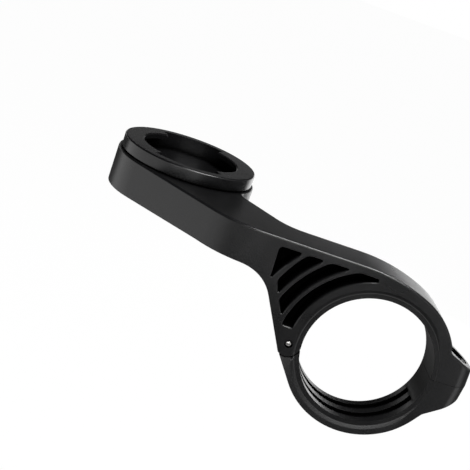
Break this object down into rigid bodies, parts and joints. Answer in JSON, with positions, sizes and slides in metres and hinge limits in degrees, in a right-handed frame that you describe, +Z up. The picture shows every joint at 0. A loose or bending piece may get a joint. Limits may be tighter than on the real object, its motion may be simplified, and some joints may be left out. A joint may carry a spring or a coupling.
{
  "type": "bike computer mount",
  "caption": "Out-front handlebar mount: a bent arm with a hinged, screw-closed clamp ring at one end and a round quarter-turn socket at the other.",
  "frame": {"origin": "centre of the handlebar bore, at the middle of the clamp's width", "axes": "+Y along the handlebar, away from the side the picture shows; +X from the arm towards the clamp screw; +Z up, square to the arm's flat top"},
  "size_m": [0.0986, 0.0543, 0.045],
  "materials": {
    "arm_nylon": "fine matt moulded texture, black",
    "lower_clamp_nylon": "fine matt moulded texture, black",
    "hinge_pin_steel": "bright turned steel",
    "clamp_screw_steel": "dark steel",
    "clamp_nut_steel": "plain steel",
    "insert_nylon": "smooth matt, black",
    "insert_screw_steel": "plain steel"
  },
  "bodies": {
    "mount": {"arm": "arm_nylon", "hinge_pin": "hinge_pin_steel", "quarter_turn_insert": "insert_nylon", "insert_screw_front": "insert_screw_steel", "insert_screw_rear": "insert_screw_steel"},
    "clamp_half": {"lower_clamp": "lower_clamp_nylon", "clamp_nut": "clamp_nut_steel"},
    "screw": {"clamp_screw": "clamp_screw_steel"}
  },
  "joints": [
    {"name": "clamp_hinge", "type": "hinge", "parent": "mount", "child": "clamp_half", "pos_m": [-0.0189, 0, -0.0019], "axis": [0, 1, 0], "range_deg": [0, 55]},
    {"name": "clamp_screw_slide", "type": "slide", "parent": "mount", "child": "screw", "axis": [0, 0, 1], "range_m": [0, 0.0145]}
  ],
  "couplings": [
    {"joint": "clamp_screw_slide", "follows": "clamp_hinge", "m_per_rad": 0.015}
  ]
}
